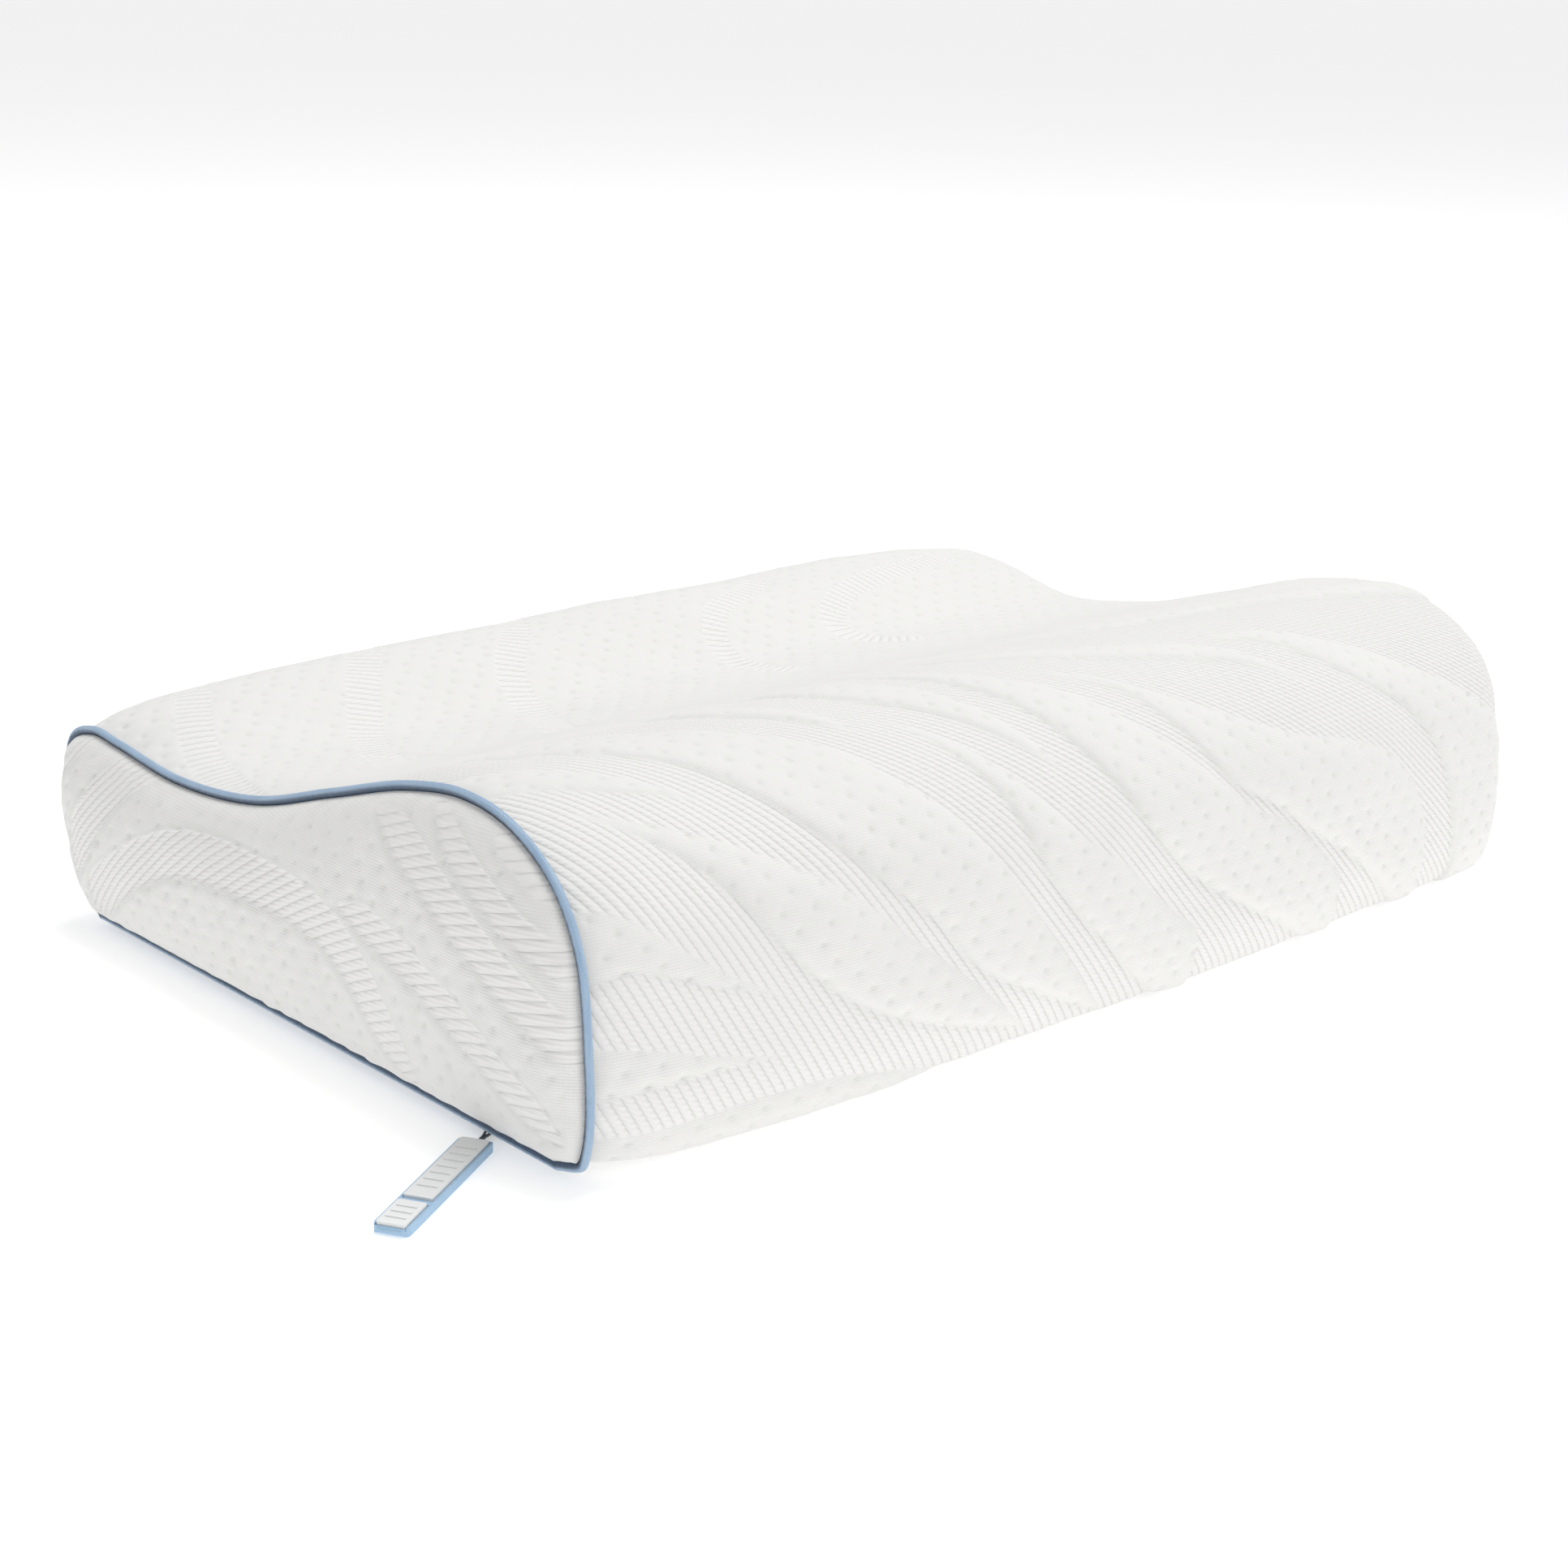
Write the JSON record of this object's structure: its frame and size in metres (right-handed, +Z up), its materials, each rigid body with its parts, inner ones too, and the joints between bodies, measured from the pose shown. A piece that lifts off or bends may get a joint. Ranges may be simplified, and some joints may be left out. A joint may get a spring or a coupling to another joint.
{
  "type": "contour bed pillow",
  "caption": "Contour foam bed pillow with a tall and a low lobe, in a quilted knit cover with blue piping and a zip under one end.",
  "frame": {"origin": "on the surface the pillow stands on, 250 mm from the zip end's seam and 157 mm behind its front face at that seam", "axes": "+X along the pillow, away from the zip end; +Y from the tall lobe to the low lobe; +Z up"},
  "size_m": [0.5934, 0.3663, 0.121],
  "materials": {
    "foam": "open-cell viscoelastic foam, moulded, matt cream",
    "liner_jersey": "thin plain cotton jersey, matt off-white",
    "quilted_knit": "white jacquard double-knit with quilted ribs and dimples, matt",
    "blue_satin": "light blue satin bias strip, soft sheen",
    "filler_cord": "loosely twisted white cotton cord",
    "zip_tape": "white woven polyester tape",
    "zip_coil": "white nylon coil, satin",
    "zip_metal": "nickel-plated die-cast zinc, satin",
    "black_wire": "black coated wire, satin",
    "blue_rubber": "soft moulded rubber, light blue, satin",
    "white_rubber": "hard moulded rubber, off-white, satin"
  },
  "bodies": {
    "pillow": {"foam_core": "foam", "liner_sleeve": "liner_jersey", "liner_end_left": "liner_jersey", "liner_end_right": "liner_jersey", "cover_wrap_panel": "quilted_knit", "cover_end_panel_left": "quilted_knit", "cover_end_panel_right": "quilted_knit", "piping_tape_left": "blue_satin", "piping_tape_right": "blue_satin", "piping_cord_left": "filler_cord", "piping_cord_right": "filler_cord", "zip_tape_cover_side": "zip_tape", "zip_tape_panel_side": "zip_tape", "zip_coil_cover_side": "zip_coil", "zip_coil_panel_side": "zip_coil", "zip_stop_closed_end": "zip_metal", "zip_stop_open_end": "zip_metal"},
    "slider": {"zip_slider_body": "zip_metal"},
    "link": {"puller_link": "black_wire"},
    "puller": {"puller_base": "blue_rubber", "puller_long_plate": "white_rubber", "puller_end_plate": "white_rubber"}
  },
  "joints": [
    {"name": "zip_slide", "type": "slide", "parent": "pillow", "child": "slider", "axis": [0, 1, 0], "range_m": [0, 0.24]},
    {"name": "link_swivel", "type": "hinge", "parent": "slider", "child": "link", "pos_m": [-0.243, -0.0952, 0.0015], "axis": [0, 0, 1], "range_deg": [-60, 3]},
    {"name": "puller_lift", "type": "hinge", "parent": "link", "child": "puller", "pos_m": [-0.25713, -0.10352, 0.0015], "axis": [-0.5075, 0.8616, 0], "range_deg": [0, 50]}
  ]
}
